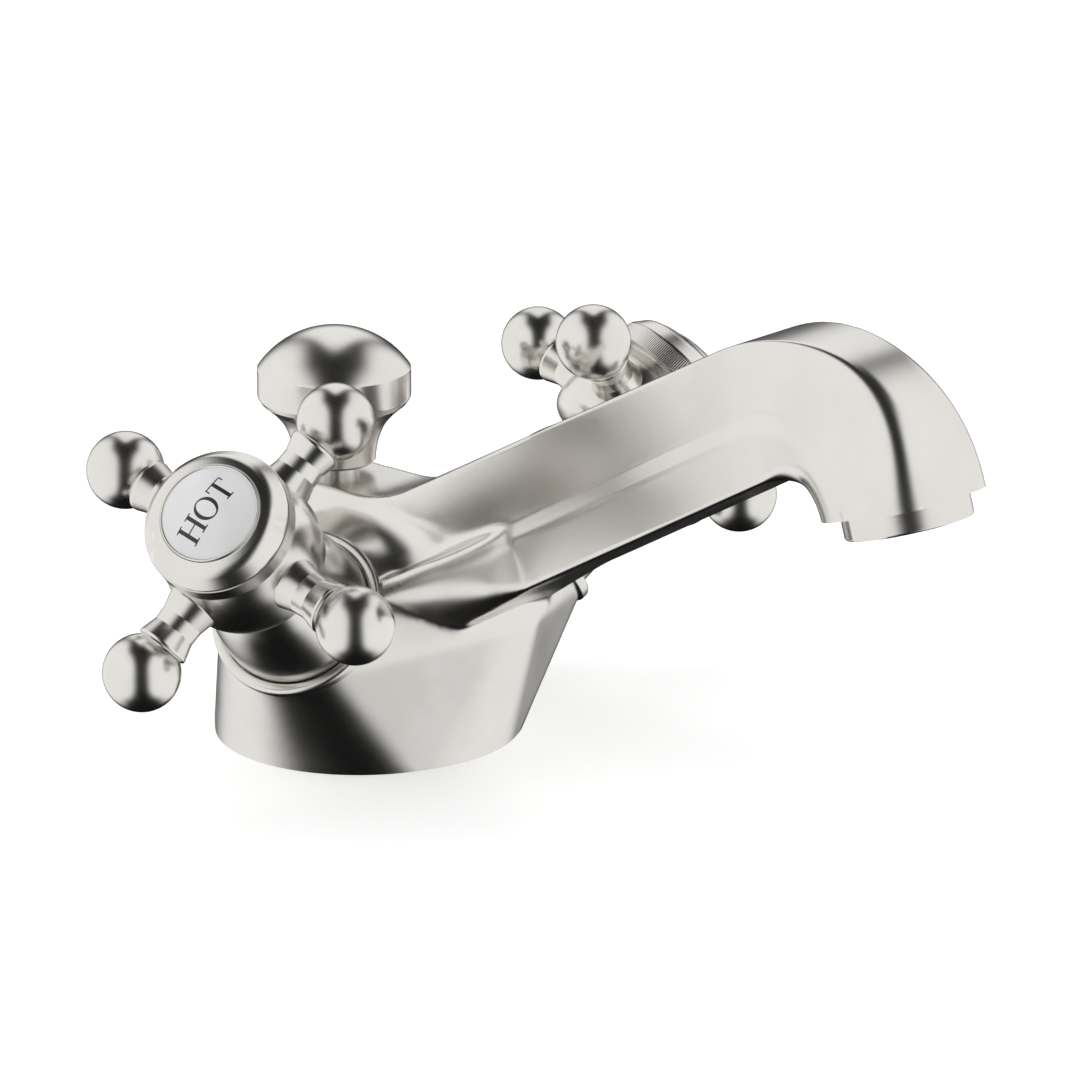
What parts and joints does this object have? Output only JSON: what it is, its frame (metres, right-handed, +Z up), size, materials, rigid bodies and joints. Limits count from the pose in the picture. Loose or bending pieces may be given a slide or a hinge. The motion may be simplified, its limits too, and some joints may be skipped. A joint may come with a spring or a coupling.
{
  "type": "basin mixer tap",
  "caption": "Deck-mounted basin mixer with angled valves, cross handles with ball ends, a square arched spout with an aerator, and a pop-up waste knob.",
  "frame": {"origin": "centre of the round foot on the deck", "axes": "+Z up off the deck, the spout points towards -Y, the hot handle is on the -X side"},
  "size_m": [0.1556, 0.1634, 0.0946],
  "materials": {
    "satin_nickel": "satin brushed nickel plate on brass",
    "bare_brass": "machined brass",
    "steel": "stainless steel",
    "rubber": "black rubber",
    "ceramic": "lapped ceramic",
    "white_enamel": "white gloss with a metal rim",
    "pale_plastic": "moulded plastic"
  },
  "bodies": {
    "tap_body": {"body_casting": "satin_nickel", "deck_seal": "rubber", "aerator_housing": "satin_nickel", "aerator_insert": "pale_plastic", "aerator_gasket": "rubber", "rod_guide_bush": "satin_nickel", "hot_shroud": "satin_nickel", "hot_headwork": "bare_brass", "hot_port_gasket": "rubber", "hot_seat_seal": "rubber", "hot_fixed_disc": "ceramic", "cold_shroud": "satin_nickel", "cold_headwork": "bare_brass", "cold_port_gasket": "rubber", "cold_seat_seal": "rubber", "cold_fixed_disc": "ceramic"},
    "lift": {"lift_rod": "satin_nickel", "lift_knob": "satin_nickel"},
    "hot_handle": {"hot_moving_disc": "ceramic", "hot_spindle": "bare_brass", "hot_spindle_oring": "rubber", "hot_spindle_clip": "steel", "hot_hub": "satin_nickel", "hot_arm_1": "satin_nickel", "hot_arm_2": "satin_nickel", "hot_arm_3": "satin_nickel", "hot_arm_4": "satin_nickel", "hot_screw": "steel", "hot_cap": "satin_nickel", "hot_index_disc": "white_enamel"},
    "cold_handle": {"cold_moving_disc": "ceramic", "cold_spindle": "bare_brass", "cold_spindle_oring": "rubber", "cold_spindle_clip": "steel", "cold_hub": "satin_nickel", "cold_arm_1": "satin_nickel", "cold_arm_2": "satin_nickel", "cold_arm_3": "satin_nickel", "cold_arm_4": "satin_nickel", "cold_screw": "steel", "cold_cap": "satin_nickel", "cold_index_disc": "white_enamel"}
  },
  "joints": [
    {"name": "hot_turn", "type": "hinge", "parent": "tap_body", "child": "hot_handle", "pos_m": [-0.05235, -0.01954, 0.05018], "axis": [-0.7342, -0.2614, 0.6266], "range_deg": [0, 90]},
    {"name": "cold_turn", "type": "hinge", "parent": "tap_body", "child": "cold_handle", "pos_m": [0.05235, -0.01954, 0.05018], "axis": [-0.7342, 0.2614, -0.6266], "range_deg": [0, 90]},
    {"name": "knob_lift", "type": "slide", "parent": "tap_body", "child": "lift", "axis": [0, 0, 1], "range_m": [0, 0.022]}
  ]
}
